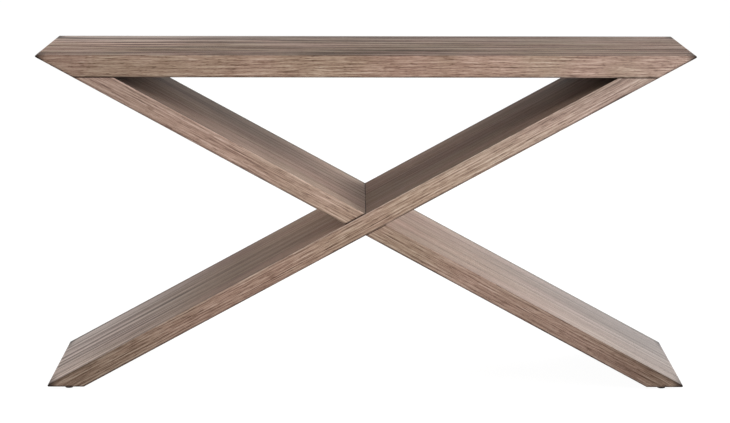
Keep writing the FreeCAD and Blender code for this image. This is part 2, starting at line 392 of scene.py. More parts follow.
for name, (piece, kind, mirror, number) in boards.items():
    if kind == "leg" and not name.endswith("lower"):
        block = mortise(mirror * (OUTER_TOP[0] - SETBACK), -DEPTH / 2 + (number - 0.5) * BOARD_WIDTH)
        cut(piece, block)
        cut(boards[f"top_board_{number}"].piece, block)
print("top board with two mortises:", len(boards["top_board_1"].piece.data.polygons), "faces")

# %% [markdown]
# ## Where the grain runs
# Oak is drawn by its year rings, and a ring is a thin shell round the tree's pith. So every vertex carries
# how far along the grain it lies, and how far from the pith in the two ways across. The slab's boards lie
# aslant of the pith, so the rings meet their narrow front edge at an angle and draw flames there; the legs'
# boards lie above or below it, which gives their edges straight lines. Each board has its own place in its
# tree, so the pattern never runs on over a joint. SHORT draws the marks together along the grain, on the
# slab more than on the legs.

# %% Grain written to each vertex
SHORT = {"top": 2.2, "leg": 1.3}
PITH_FAR = {"top": (0.10, 0.16), "leg": (0.12, 0.22)}
PITH_NEAR = {"top": (0.08, 0.16), "leg": (0.03, 0.08)}
START = (2, 9)
SEED = 1867

def store(mesh, name, *columns):
    """Writes one or three numbers for each vertex under a name that the finish can read."""
    kind, key = ("FLOAT", "value") if len(columns) == 1 else ("FLOAT_VECTOR", "vector")
    attribute = mesh.attributes.new(name, kind, "POINT")
    attribute.data.foreach_set(key, np.stack(columns, axis=-1).ravel().astype(np.float32))

def places(mesh):
    """All vertex places as one array."""
    points = np.empty(len(mesh.vertices) * 3, np.float32)
    mesh.vertices.foreach_get("co", points)
    return points.reshape(-1, 3).astype(float)

def leaning(points, mirror):
    """Side view of a leg: along the plank, and square off its lower face, for the leg that mirror names."""
    x, z = points[:, 0] * mirror - HEEL[0], points[:, 2] - HEEL[1]
    return x * ALONG[0] + z * ALONG[1], x * UP_OFF[0] + z * UP_OFF[1]

trees = np.random.default_rng(SEED)
for piece, kind, mirror, number in boards.values():
    points = places(piece.data)
    along, off = (points[:, 0], points[:, 2] - UNDERSIDE) if kind == "top" else leaning(points, mirror)
    far, near = trees.choice([-1, 1], 2) * (trees.uniform(*PITH_FAR[kind]), trees.uniform(*PITH_NEAR[kind]))
    pith_y, pith_off = (far, near) if kind == "top" else (near, far)
    middle_y = -DEPTH / 2 + (number - 0.5) * BOARD_WIDTH
    along = SHORT[kind] * along + trees.uniform(*START)
    store(piece.data, "grain", along, points[:, 1] - middle_y - pith_y, off - pith_off)
print("grain written to", sum(len(board.piece.data.vertices) for board in boards.values()), "vertices")

# %% [markdown]
# ## Where the wear sits
# Three distances decide the small dark marks: to the nearest arris, to the nearest sharp tip, and to the
# nearest joint. A distance is easy to work out here and hard inside a finish, which only sees one point at
# a time.

# %% Distances to arrises and tips
FAINT = 0.0037
TIP_SPREAD = 0.35

def end_distance(points):
    """How far a point of the slab lies inside the nearer sloping end face."""
    return (HALF_LENGTH - np.abs(points[:, 0])) * ALONG[1] - (HEIGHT - points[:, 2]) * ALONG[0]

def arris_distance(points, kind, mirror):
    """Distance to a front or back arris: how far inside the side view, together with how far behind the
    face.

    The legs' upper arrises are left out, because they carry a painted highlight and not a dark line. The
    slab's upper ones count as further off than they are, so that their line is faint."""
    _, y, z = points.T
    if kind == "top":
        inside = np.minimum(np.minimum(end_distance(points), HEIGHT - z + FAINT), z - UNDERSIDE)
    else:
        inside = np.minimum(leaning(points, mirror)[1], z - SOLE)
    return np.hypot(np.maximum(inside, 0), DEPTH / 2 - np.abs(y))

def tip_distance(points, kind, mirror):
    """Distance to the nearest sharp tip in the side view, growing with a share of the way in from the outer
    face."""
    x, y, z = points.T
    if kind == "top":
        side = np.hypot(HALF_LENGTH - np.abs(x), HEIGHT - z)
    else:
        side = np.hypot(x * mirror - FOOT_TIP[0], z - FOOT_TIP[1])
    return np.hypot(side, TIP_SPREAD * (DEPTH / 2 - np.abs(y)))

points = places(boards["top_board_1"].piece.data)
print("the top's front board to its dark arrises:", arris_distance(points, "top", 1).min().round(4))

# %% [markdown]
# Stain and dust gather in the joints, least where they are tight. All three distances go to the vertices,
# and none counts beyond REACH.

# %% Distances to joints, and all three written
REACH = 0.05
OUTER_SKIN = 0.002
SLAB_SEAM, LEG_SEAM, TIGHT_SEAM, NO_SEAM = 2.4, 1.6, 2.2, 5e4
CROSS_SEAM = {"upper": 0.6, "lower": 1.9}

def joint_distance(points, kind, mirror, part):
    """Distance to the slab's underside or to the other leg's faces, counted for more where the joint is
    tight.

    On the outer faces the seam over the crossing stands a little open, so there the distance counts for
    less and the line is wider. A board that runs through has no seam there."""
    x, y, z = points.T
    under = np.abs(z - UNDERSIDE)
    if kind == "top":
        return np.where(np.abs(x) > INNER_TOP[0], SLAB_SEAM * under, REACH)
    off = leaning(points, -mirror)[1]
    cross = np.minimum(np.abs(off), np.abs(off - PLANK))
    outer = np.abs(y) > DEPTH / 2 - OUTER_SKIN
    return np.minimum(LEG_SEAM * under, cross * np.where(outer, CROSS_SEAM.get(part, NO_SEAM), TIGHT_SEAM))

for name, (piece, kind, mirror, _) in boards.items():
    points = places(piece.data)
    marks = [arris_distance(points, kind, mirror), tip_distance(points, kind, mirror),
             joint_distance(points, kind, mirror, name.rsplit("_", 1)[1])]
    store(piece.data, "wear", *(np.minimum(mark, REACH) for mark in marks))
print("least distances on the last board:", [f"{mark.min():.4f}" for mark in marks])

# %% [markdown]
# ## Stain on the slab
# Weathering isn't even. The top has faded most at its left end and towards the back, and its streaks are
# strongest at the left. The front edge and the sloping ends have a tone of their own.
# Each of these is a curve: a table of places and values, read in straight lines between them. Painting by
# hand would do too, but a table can be read and changed.

# %% Curves for the slab
TOP_TONE = 0.68
FADED = ([-0.76, -0.36, 0.1, 0.76], [1.54, 1.08, 0.98, 1.07])
BACK_HALF = ([-0.03, 0.08], [0, 1])
BACK_FADED = ([-0.6, -0.17, 0.17, 0.5], [0.42, 0.36, 0.18, 0.06])
BACK_DARK = ([-0.6, -0.2], [0.1, 0.8])
FRONT_EDGE = ([-0.76, -0.3, 0.2, 0.76], [0.96, 1.13, 1.1, 1.15])
FRONT_GREY = ([0.2, 0.72], [0, 0.2])
CHALK_BACK = ([0, 0.12, 0.2], [0, 0.25, 0.6])
CHALK_LEFT = ([-0.5, 0.3], [1, 0.4])
TOP_STREAKS = ([-0.7, 0, 0.7], [2.3, 1.7, 1.1])
END_STREAKS = 0.12
FRONT_FIGURE, TOP_FIGURE = 0.8, 1

def curve(value, table):
    """The table's value at each place, in a straight line between its two neighbours."""
    return np.interp(value, *table)

def slab_stain(points, outer, glue, back_line):
    """Lightness, streaks, bleaching and strength of figure on the slab: products of curves along x and
    y."""
    x, y, _ = points.T
    cut_end = outer | (end_distance(points) < OUTER_SKIN)
    faded = TOP_TONE * glue * curve(x, FADED)
    faded = faded * (1 + curve(y, BACK_HALF) * curve(x, BACK_FADED))
    faded = faded * (1 - back_line * curve(x, BACK_DARK))
    lightness = np.where(cut_end, curve(x, FRONT_EDGE), faded)
    streaks = np.where(cut_end, END_STREAKS, curve(x, TOP_STREAKS))
    bleach = np.where(outer, curve(x, FRONT_GREY), curve(y, CHALK_BACK) * curve(x, CHALK_LEFT))
    return lightness, streaks, bleach, np.where(outer, FRONT_FIGURE, TOP_FIGURE)

print("the top's left end over its right end:", round(FADED[1][0] / FADED[1][-1], 2))

# %% [markdown]
# ## Stain and painted light on the legs
# Each leg has its own run of painted light and shade over the height, one for its narrow edges and one for
# its wide faces.
# Down a narrow edge there is first the arris, with a painted highlight higher up and dirt near the floor,
# and under it a darker line.

# %% Curves for the legs' narrow edges
HEIGHTS = [0.05, 0.15, 0.25, 0.36, 0.46, 0.54, 0.62, 0.7]
# Painted light and shade down each leg's narrow edge over the height: darker near the floor, lighter higher
# up.
EDGE_PAINTED_LIGHT = {1: [0.79, 0.97, 1.09, 1.15, 1.25, 1.28, 1.25, 1.12],
         -1: [0.65, 0.93, 1.04, 1.09, 1.37, 1.28, 1.21, 1.13]}
# Painted highlight along the legs' upper arris, with a darker band under it; near the floor it gives way to
# dirt.
ARRIS_HIGHLIGHT = {1: 0.24, -1: 0.15}
DOWN = [0.0003, 0.0022, 0.0045, 0.008]
HIGHLIGHT_BAND = (DOWN, [1, 0.6, -0.7, 0])
DIRT = (DOWN, [0.5, 0.6, 0.8, 1])
DIRTY = ([0.06, 0.13, 0.33], [1, 0.35, 0])

def edge_shading_and_dirt(z, down, mirror):
    """The narrow edge's painted light and shade over the height, times a curve down from the arris that
    turns from a painted highlight to dirt near the floor."""
    highlighted = 1 + ARRIS_HIGHLIGHT[mirror] * curve(down, HIGHLIGHT_BAND)
    highlight_and_dirt = highlighted + (curve(down, DIRT) - highlighted) * curve(z, DIRTY)
    return curve(z, (HEIGHTS, EDGE_PAINTED_LIGHT[mirror])) * highlight_and_dirt

print("edges are lightest at", [HEIGHTS[np.argmax(EDGE_PAINTED_LIGHT[mirror])] for mirror in (1, -1)])

# %% [markdown]
# The wide faces carry painted light and shade. They are painted dark in the hollow under the slab, where
# shade falls.
# Across the depth they have three painted bands: a strip behind the front edge that is shaded higher up, a
# slow change from front to back, and a far strip that is darker high up.

# %% Curves for the legs' wide faces
# Painted light and shade over the height of each leg's wide faces.
WIDE_PAINTED_LIGHT = {1: [1.37, 1.02, 0.69, 0.88, 0.84, 0.91, 0.96, 1],
         -1: [0.71, 0.9, 0.89, 0.9, 1.4, 0.94, 0.95, 0.86]}
# Painted shade in the hollow under the slab, darkest right under it.
HOLLOW_SHADE = ([0, 0.014, 0.035, 0.07], [0.2, 0.45, 0.8, 1])
NEAR_STRIP = ([-DEPTH / 2, -0.17], [1, 0])
SHADED = {1: ([0.38, 0.44, 0.68], [0, 0.15, 0.35]),
          -1: ([0.4, 0.45, 0.52, 0.56, 0.62, 0.68], [0, 0.25, 0.15, 0, 0.28, 0.35])}
INWARDS = ([-0.17, 0, 0.15], [0, 0.5, 1])
# Painted light and shade deeper in: darker low down, lighter higher up.
DEPTH_SHADING = {1: ([0.15, 0.3], [-0.12, 0.32]), -1: ([0.15, 0.3], [-0.22, 0.12])}
FAR_STRIP = ([0.02, 0.11], [0, 1])
# Painted shade on the far strip of the wide faces, high up.
FAR_SHADE = ([0.48, 0.54, 0.62, 0.7], [0, 0.15, 0.43, 0.5])

def wide_shading(y, z, mirror):
    """Painted light and shade on a wide face: its curve over the height, times the painted shade in the
    hollow under the slab and the three painted bands across the depth."""
    tone = curve(z, (HEIGHTS, WIDE_PAINTED_LIGHT[mirror])) * curve(UNDERSIDE - z, HOLLOW_SHADE)
    tone = tone * (1 - curve(z, FAR_SHADE) * curve(y, FAR_STRIP))
    tone = tone * (1 + curve(z, DEPTH_SHADING[mirror]) * curve(y, INWARDS))
    return tone * (1 - curve(z, SHADED[mirror]) * curve(y, NEAR_STRIP))

print("wide faces are darkest at", [HEIGHTS[np.argmin(WIDE_PAINTED_LIGHT[mirror])] for mirror in (1, -1)])

# %% [markdown]
# Bleaching is strongest on the wide faces near the feet, and the painted highlight on the upper arrises is
# paled to cream. On the wide faces the streaks and the figure are strongest at the foot on the left, where
# the stain is worn.

# %% Bleaching, streaks and figure on the legs
BLEACH = {1: [0.5, 0.35, 0.08, 0, 0, 0, 0, 0],
          -1: [0.58, 0.52, 0.38, 0.26, 0.18, 0.18, 0.2, 0.2]}
GREYED = {1: [0, 0, 0, 0, 0.05, 0.15, 0.22, 0.3],
          -1: [0, 0.05, 0.05, 0, 0.12, 0.1, 0.1, 0.15]}
FOOT = ([0.02, 0.12, 0.21], [1, 0.7, 0])
CREAM = ([0.0015, 0.003], [1, 0])
CREAM_ABOVE = ([0.15, 0.33], [0, 1])
CREAM_SHARE = 1.35
BLEACH_INWARDS = 0.5
SOLE_SKIN = 0.001
EDGE_STREAKS, SOLE_STREAKS, WIDE_STREAKS = 0.15, 0.2, 0.3
FOOT_STREAKS = {1: 2.2, -1: 0.2}
EDGE_FIGURE = {1: 1, -1: 0.85}
WIDE_FIGURE = 0.55
FOOT_FIGURE = {1: 0.3, -1: 0}

def leg_stain_and_shade(points, mirror, outer, glue, back_line):
    """The same four values on a leg, whose lightness holds painted light and shade: one set for narrow
    edges, one for wide faces.
    """
    _, y, z = points.T
    down = PLANK - leaning(points, mirror)[1]
    foot = curve(z, FOOT)
    wide = wide_shading(y, z, mirror) * glue * (1 - back_line)
    lightness = np.where(outer, edge_shading_and_dirt(z, down, mirror), wide)
    streaks = np.where(z < SOLE + SOLE_SKIN, SOLE_STREAKS, WIDE_STREAKS + FOOT_STREAKS[mirror] * foot)
    # The painted highlight on the upper arris is also paled to cream.
    cream = CREAM_SHARE * ARRIS_HIGHLIGHT[mirror] * curve(down, CREAM) * curve(z, CREAM_ABOVE)
    edge_bleach = np.maximum(cream, curve(z, (HEIGHTS, GREYED[mirror])))
    wide_bleach = curve(z, (HEIGHTS, BLEACH[mirror])) * (1 + BLEACH_INWARDS * curve(y, INWARDS))
    figure = np.where(outer, EDGE_FIGURE[mirror], WIDE_FIGURE + FOOT_FIGURE[mirror] * foot)
    bleach = np.where(outer, edge_bleach, wide_bleach)
    return lightness, np.where(outer, EDGE_STREAKS, streaks), bleach, figure

print("cream on the arrises:", [round(CREAM_SHARE * ARRIS_HIGHLIGHT[mirror], 2) for mirror in (1, -1)])

# %% [markdown]
# ## Stain and painted shade written to the boards
# The glue lines and the back arris are darker on the slab and the legs alike. No two boards of a glued
# panel match, so each board's lightness is also turned up or down a little. On the legs the lightness also
# holds painted light and shade. The values go to the vertices for the finish to read.

# %% Stain for each vertex
FACE_SKIN = 0.0012
GLUE_LINES = ([0, 0.009, 0.018, 0.073, 0.082, 0.0914], [0.8, 0.93, 1, 1, 0.95, 0.86])
BACK_ARRIS = ([0, 0.009, 0.024], [0.58, 0.34, 0])
BOARD_TONES = (0.93, 1.07)

for piece, kind, mirror, number in boards.values():
    points = places(piece.data)
    outer = np.abs(points[:, 1]) > DEPTH / 2 - FACE_SKIN
    glue = curve(points[:, 1] + DEPTH / 2 - (number - 1) * BOARD_WIDTH, GLUE_LINES)
    back_line = curve(DEPTH / 2 - points[:, 1], BACK_ARRIS)
    lines = (outer, glue, back_line)
    stain_and_shade = slab_stain(points, *lines) if kind == "top" else leg_stain_and_shade(points, mirror, *lines)
    lightness, streaks, bleach, figure = stain_and_shade
    store(piece.data, "stain_and_shade", lightness * trees.uniform(*BOARD_TONES), streaks, bleach)
    store(piece.data, "figure", figure)
print("lightness on the last board:", np.round([lightness.min(), lightness.max()], 2))

# %% [markdown]
# ## Colours as light
# A colour as a paint chart gives it (0 to 255) is bent for a display. Nodes reckon with plain light, so the
# bend is undone first.

# %% Chart colours
def light(red, green, blue):
    """A chart colour as linear light: the display's own curve undone, with full opacity."""
    chart = np.array([red, green, blue]) / 255
    linear = np.where(chart <= 0.04045, chart / 12.92, ((chart + 0.055) / 1.055) ** 2.4)
    return (*linear.tolist(), 1.0)

print("a middle grey as light:", round(light(128, 128, 128)[0], 3))

# %% [markdown]
# ## Small helpers for finishes
# A finish is a chain of nodes. A small class keeps such chains readable: each of its ways adds a node, sets
# or connects the inputs, and hands back what comes out.

# %% Adding nodes
class Chain:
    """A tree of nodes, and short ways to add to it."""

    def __init__(self, tree):
        self.tree = tree

    def node(self, kind, inputs=None, **settings):
        """A new node of this kind, which is named without its ShaderNode."""
        made = self.tree.nodes.new("ShaderNode" + kind)
        for key, value in settings.items():
            setattr(made, key, value)
        self.feed(made, inputs or {})
        return made

    def feed(self, node, inputs):
        """Connects a node's inputs to other nodes, or sets them to plain values."""
        for key, value in inputs.items():
            if isinstance(value, bpy.types.NodeSocket):
                self.tree.links.new(value, node.inputs[key])
            else:
                node.inputs[key].default_value = value

    def sum(self, way, a, b=0.0, c=0.0):
        """One step of arithmetic, by the name of its way."""
        return self.node("Math", {0: a, 1: b, 2: c}, operation=way).outputs[0]

    def times(self, a, b, add=None):
        """a times b, with add on top if it is given."""
        return self.sum("MULTIPLY", a, b) if add is None else self.sum("MULTIPLY_ADD", a, b, add)

    def vector(self, way, a, b=(0, 0, 0)):
        """The same for three numbers at once."""
        made = self.node("VectorMath", {0: a, "Scale" if way == "SCALE" else 1: b}, operation=way)
        return made.outputs["Value" if way == "LENGTH" else "Vector"]

    def stored(self, name):
        """Three numbers that each vertex carries under this name."""
        return self.node("Attribute", attribute_name=name).outputs["Vector"]

    def parts(self, vector):
        """The three numbers of a vector, one by one."""
        return self.node("SeparateXYZ", {0: vector}).outputs

    def noise(self, place, stretch, detail=2.0, rough=0.5, colour=False):
        """Noise drawn out by a different number of waves to the metre along each way."""
        scaled = self.vector("MULTIPLY", place, stretch)
        inputs = {"Vector": scaled, "Scale": 1.0, "Detail": detail, "Roughness": rough}
        return self.node("TexNoise", inputs).outputs["Color" if colour else "Fac"]

    def spread(self, value, low, high, to_low=0.0, to_high=1.0):
        """A value between two limits, eased into another pair of limits."""
        return self.node("MapRange", {0: value, 1: low, 2: high, 3: to_low, 4: to_high},
                         interpolation_type="SMOOTHSTEP").outputs[0]

    def ramp(self, value, stops):
        """A colour from a scale of (place, colour) stops."""
        made = self.node("ValToRGB", {0: value})
        band = made.color_ramp.elements
        while len(band) < len(stops):
            band.new(0.5)
        for element, (position, colour) in zip(band, stops):
            element.position, element.color = position, colour
        return made.outputs["Color"]

    def blend(self, share, a, b, way="MIX"):
        """Colour a with a share of colour b over it."""
        return self.node("Mix", {0: share, 6: a, 7: b}, data_type="RGBA", blend_type=way).outputs[2]

print("ways to add nodes:", [way for way in vars(Chain) if "_" not in way])

# %% [markdown]
# A finish is such a chain in a new material, with a surface shader near its end. Relief only bends the
# light, so it is kept for marks that are too fine to model.

# %% A finish
class Finish(Chain):
    """A chain in a new material, with its surface shader."""

    def __init__(self, name):
        self.material = bpy.data.materials.new(name)
        self.material.use_nodes = True
        super().__init__(self.material.node_tree)
        self.tree.nodes.clear()
        self.surface = self.node("BsdfPrincipled")
        self.end = self.node("OutputMaterial", {"Surface": self.surface.outputs["BSDF"]})

    def relief(self, height, deep):
        """Raises the surface by a height from 0 to 1, times the given depth in metres."""
        made = self.node("Bump", {"Height": height, "Distance": deep, "Strength": 1.0})
        self.coat({"Normal": made.outputs["Normal"]})

    def coat(self, inputs):
        """Connects or sets inputs of the surface shader."""
        self.feed(self.surface, inputs)

def dress(pieces, finish):
    """Gives each piece this finish and no other."""
    for piece in pieces:
        piece.data.materials.clear()
        piece.data.materials.append(finish.material)

print("boards to finish:", len(boards))

# %% [markdown]
# ## Weathered oak
# The oak is brushed, so the soft early part of each ring lies lower and holds the grey-brown stain. Working
# from large to small there are clouds and broad streaks along each board, year rings, fine fibres, dark
# dashes, and short open pores in the early wood.
# The rings come from the distance to the pith, which is bent a little along the tree. A picture of wood
# would do on one face, but it would not turn the corner into the end grain. PATTERNS gives each pattern's
# waves to the metre along the grain and the two ways across it, then how often finer waves are laid over
# them, and how strongly.

# %% Oak: where the rings, fibres and pores are
RING = 0.0063
EARLY_SHARE = 0.55
BEND = (0, 0.02, 0.006)
WOBBLE = 0.6
FAINTEST_YEAR = 0.35
LATE_PORES = 0.2
DASHED, PORED = (0.54, 0.68), (0.59, 0.66)
PATTERNS = {"sway": ((1.1, 5, 5), 2), "wobble": ((5, 90, 90), 1), "fibre": ((8, 360, 360), 4, 0.74),
            "dashes": ((30, 420, 420), 1), "pores": ((55, 1700, 1700), 1), "broad": ((0.9, 42, 60), 4, 0.62),
            "cloud": ((2.3, 7, 7), 2), "ragged": ((16, 260, 260), 2)}

oak = Finish("weathered_oak")
grain = oak.stored("grain")
wear, shade_and_stain = oak.parts(oak.stored("wear")), oak.parts(oak.stored("stain_and_shade"))
figure = oak.node("Attribute", attribute_name="figure").outputs["Fac"]

sway = oak.vector("SUBTRACT", oak.noise(grain, *PATTERNS["sway"], colour=True), (0.5, 0.5, 0.5))
bent = oak.vector("ADD", grain, oak.vector("MULTIPLY", sway, BEND))
radius = oak.vector("LENGTH", oak.vector("MULTIPLY", bent, (0, 1, 1)))
ring = oak.sum("DIVIDE", radius, RING)
ring = oak.sum("ADD", ring, oak.times(oak.noise(grain, *PATTERNS["wobble"]), WOBBLE))
early = oak.spread(oak.sum("FRACT", ring), 0.0, EARLY_SHARE, 1.0, 0.0)
year = oak.node("TexWhiteNoise", {"W": oak.sum("FLOOR", ring)}, noise_dimensions="1D").outputs["Value"]
early = oak.times(early, oak.times(year, 1 - FAINTEST_YEAR, FAINTEST_YEAR))
fibre = oak.noise(grain, *PATTERNS["fibre"])
dashes = oak.spread(oak.noise(grain, *PATTERNS["dashes"]), *DASHED)
pores = oak.spread(oak.noise(grain, *PATTERNS["pores"]), *PORED)
pores = oak.times(pores, oak.times(early, 1 - LATE_PORES, LATE_PORES))
broad = oak.noise(grain, *PATTERNS["broad"])
cloud = oak.noise(grain, *PATTERNS["cloud"])
print("figure has", len(oak.tree.nodes), "nodes")

# %% [markdown]
# First one number is made, how light the wood is at each place: fibres, early rings and dashes are added to
# the broad streaks, each by its own strength. A ramp of browns turns it into colour, clouds tint that a
# little, and bleached parts turn to grey.

# %% Oak: from figure to colour
FIBRES, RINGS, DASHES, STREAKS, MIDDLE = 2.4, -0.34, -0.3, 3.2, 0.67
BROWNS = [(0.0, light(84, 66, 57)), (0.3, light(124, 102, 90)), (0.55, light(154, 131, 117)),
          (0.8, light(176, 155, 141)), (1.0, light(194, 177, 165))]
ROSY, YELLOWISH = (1.05, 0.955, 0.925, 1), (1.0, 0.97, 0.89, 1)
DARK_GREY, PALE_GREY = light(132, 124, 120), light(180, 171, 167)
PORE_TONE, PORE_SHARE = light(66, 52, 45), 0.6
CLOUDY, GREYING = (0.35, 0.65), (0.1, 1.1)

lines = oak.times(oak.sum("SUBTRACT", fibre, 0.5), FIBRES)
lines = oak.times(early, RINGS, lines)
lines = oak.times(dashes, DASHES, lines)
depth = oak.times(oak.sum("SUBTRACT", broad, 0.5), shade_and_stain[1])
depth = oak.times(depth, STREAKS, MIDDLE)
depth = oak.times(lines, figure, depth)
colour = oak.ramp(depth, BROWNS)
tint = oak.blend(oak.spread(cloud, *CLOUDY), ROSY, YELLOWISH)
colour = oak.blend(1.0, colour, tint, "MULTIPLY")
grey = oak.blend(oak.spread(depth, *GREYING), DARK_GREY, PALE_GREY)
colour = oak.blend(shade_and_stain[2], colour, grey)
colour = oak.blend(oak.times(pores, PORE_SHARE), colour, PORE_TONE)
# The colour is scaled by the stored lightness, which on the legs also holds painted light and shade and a
# painted highlight.
colour = oak.vector("SCALE", colour, shade_and_stain[0])
print("oak colour has", len(oak.tree.nodes), "nodes")

# %% [markdown]
# Then the dark marks are laid over the colour: a ragged line on the arrises, a sooty one on the arrises
# near the tips, the seams, and the burnt tips themselves. Each fades out between two distances, from its
# strength to 0.

# %% Oak: dark marks
RIM, SOOT, SOOTY_TIP = (0.0014, 0.0052, 0.8, 0), (0.0018, 0.0048, 1, 0), (0.015, 0.049, 0.9, 0)
SEAM, BURNT = (0.001, 0.003, 0.92, 0), (0.004, 0.04, 0.95, 0)
RAGGED = (0.3, 0.7, 0.45, 1.0)
RIM_TONE, SEAM_TONE, BURNT_TONE = light(58, 46, 41), light(46, 30, 25), light(34, 28, 26)

ragged = oak.spread(oak.noise(grain, *PATTERNS["ragged"]), *RAGGED)
rim = oak.times(oak.spread(wear[0], *RIM), ragged)
sooty = oak.times(oak.spread(wear[0], *SOOT), oak.spread(wear[1], *SOOTY_TIP))
colour = oak.blend(oak.sum("MAXIMUM", rim, sooty), colour, RIM_TONE)
colour = oak.blend(oak.spread(wear[2], *SEAM), colour, SEAM_TONE)
colour = oak.blend(oak.spread(wear[1], *BURNT), colour, BURNT_TONE)
oak.coat({"Base Color": colour})
print("oak with marks has", len(oak.tree.nodes), "nodes")

# %% [markdown]
# Brushed oak is nearly matte, and a little duller where the fibres stand up. Fibres, early rings and pores
# together give the relief, about half a millimetre deep.

# %% Oak: sheen and relief
MATTE, FIBRE_MATTE, SHEEN = 0.55, 0.2, 0.07
FIBRE_RISE, RING_RISE, PORE_RISE = 0.6, -0.35, -0.6
BRUSHED = 0.0005

height = oak.times(early, RING_RISE, oak.times(fibre, FIBRE_RISE))
height = oak.times(pores, PORE_RISE, height)
oak.coat({"Roughness": oak.times(fibre, FIBRE_MATTE, MATTE), "Specular IOR Level": SHEEN})
oak.relief(height, BRUSHED)
dress([board.piece for board in boards.values()], oak)
print("finished boards:", len(boards))

# %% [markdown]
# ## Pads
# Each foot stands on a moulded nylon pad on a steel screw. The pad is turned from a profile with a shallow
# waist, and ribs round its rim give the fingers a grip.

# %% The pad's shape
PAD = [(0.0052, 0.0), (0.0079, 0.0), (0.0088, 0.0003), (0.0093, 0.0009), (0.0095, 0.0016),
       (0.0095, 0.0024), (0.0092, 0.0029), (0.0085, 0.0031), (0.0074, 0.0033), (0.0068, 0.0037),
       (0.0065, 0.0043), (0.0064, 0.005), (0.0061, 0.0054), (0.0056, 0.0055), (0.0032, 0.0055)]
PAD_SIDES = 96
RIBS, RIB_DEEP, RIB_START, RIB_FADE = 24, 0.00022, 0.0091, 0.0003

def ribbed(points, x, y):
    """Pushes the rim in by a small wave of the angle, RIBS to the round, only where the profile is
    widest."""
    out = points[..., :2] - (x, y)
    radius = np.hypot(out[..., 0], out[..., 1])
    angle = np.arctan2(out[..., 1], out[..., 0])
    rim = np.clip((radius - RIB_START) / RIB_FADE, 0, 1)
    scale = 1 - rim * RIB_DEEP * (1 + np.cos(RIBS * angle)) / radius
    points[..., :2] = (x, y) + out * scale[..., None]
    return points

print("a pad is", round(2 * max(PAD)[0], 4), "m wide")

# %% [markdown]
# ## Screws
# The screw is one surface: its radius rises and falls once for each pitch, and the wave is shifted round
# the axis, which is all that a thread is. A small profile swept along a helix would do too, but its ends
# are hard to close.

# %% Threads, and the four levelers
PITCH = 0.001
SCREW_LOW, SCREW_HIGH, SCREW_RADIUS, THREAD_DEEP = 0.0015, 0.0279, 0.003, 0.00055

def thread(x, y, sides=32, per_pitch=8):
    """Radius = root + depth times a triangle wave of (height / pitch - turn), which fades over a pitch at
    the ends."""
    turns = round((SCREW_HIGH - SCREW_LOW) / PITCH)
    z = np.linspace(SCREW_LOW, SCREW_HIGH, turns * per_pitch + 1)[:, None]
    turn = np.arange(sides)[None] / sides
    wave = np.abs(((z - SCREW_LOW) / PITCH - turn) % 1 * 2 - 1)
    fade = np.clip(np.minimum(z - SCREW_LOW, SCREW_HIGH - z) / PITCH, 0, 1)
    radius = SCREW_RADIUS - THREAD_DEEP * (1 - wave * fade)
    angle = 2 * math.pi * turn
    return np.stack([x + radius * np.cos(angle), y + radius * np.sin(angle), z + 0 * radius], axis=-1)

pads, screws = [], []
for corner, (x, y, _) in LEVELERS.items():
    body = corner + "_leveler"
    points = ribbed(turned(PAD, x, y, 0.0, PAD_SIDES), x, y)
    pads.append(shown(body + "_foot", points, body, "black_nylon", body + "_pad"))
    screws.append(shown(body + "_screw", thread(x, y), body, "plated_steel", body + "_stem"))
for piece in pads + screws:
    piece.data.shade_smooth()
print("pads of", len(pads[0].data.polygons), "faces and screws of", len(screws[0].data.polygons))

# %% [markdown]
# ## Finishes of the small parts
# Nylon is nearly black, with a dull moulded skin and scuffs. The screws are zinc plated, with a cloudy
# surface.

# %% Nylon and steel
NYLON, SCUFFED = light(15, 15, 15), light(40, 39, 38)
SKIN, SCUFFS = ((2600, 2600, 2600), 2), ((160, 420, 900), 4, 0.65)
SCUFF_RANGE, SCUFF_SHARE = (0.55, 0.75), 0.5
NYLON_MATTE, SCUFF_MATTE, NYLON_SHEEN = 0.48, 0.2, 0.2
SKIN_DEEP, METAL_DEEP = 0.00004, 0.00003
CLOUD_RANGE = (0.3, 0.7)
ZINC = [(0.3, light(150, 152, 156)), (0.7, light(196, 197, 198))]
ZINC_CLOUDS, ZINC_MATTE = ((700, 700, 300), 3, 0.6), (0.42, 0.26)

def place_of(finish):
    """The place on the object itself, in metres."""
    return finish.node("TexCoord").outputs["Object"]

nylon = Finish("black_nylon")
skin = nylon.noise(place_of(nylon), *SKIN)
scuff = nylon.spread(nylon.noise(place_of(nylon), *SCUFFS), *SCUFF_RANGE)
nylon.coat({"Base Color": nylon.blend(nylon.times(scuff, SCUFF_SHARE), NYLON, SCUFFED),
            "Roughness": nylon.times(scuff, SCUFF_MATTE, NYLON_MATTE), "Specular IOR Level": NYLON_SHEEN})
nylon.relief(skin, SKIN_DEEP)
dress(pads, nylon)

def metal(name, pattern, tones, matte):
    """A metal finish and its clouds: one noise sets the colour and the roughness."""
    finish = Finish(name)
    clouds = finish.noise(place_of(finish), *pattern)
    finish.coat({"Base Color": finish.ramp(clouds, tones), "Metallic": 1.0,
                 "Roughness": finish.spread(clouds, *CLOUD_RANGE, *matte)})
    return finish, clouds

steel, bloom = metal("plated_steel", ZINC_CLOUDS, ZINC, ZINC_MATTE)
steel.relief(bloom, METAL_DEEP)
dress(screws, steel)
print("nylon pads, steel screws:", len(pads), len(screws))

# %% [markdown]
# The inserts are turned brass with fine rings, and the hidden tenons are beech with its short brown flecks.
# Both keep their solids' shapes, because little or nothing of them shows.

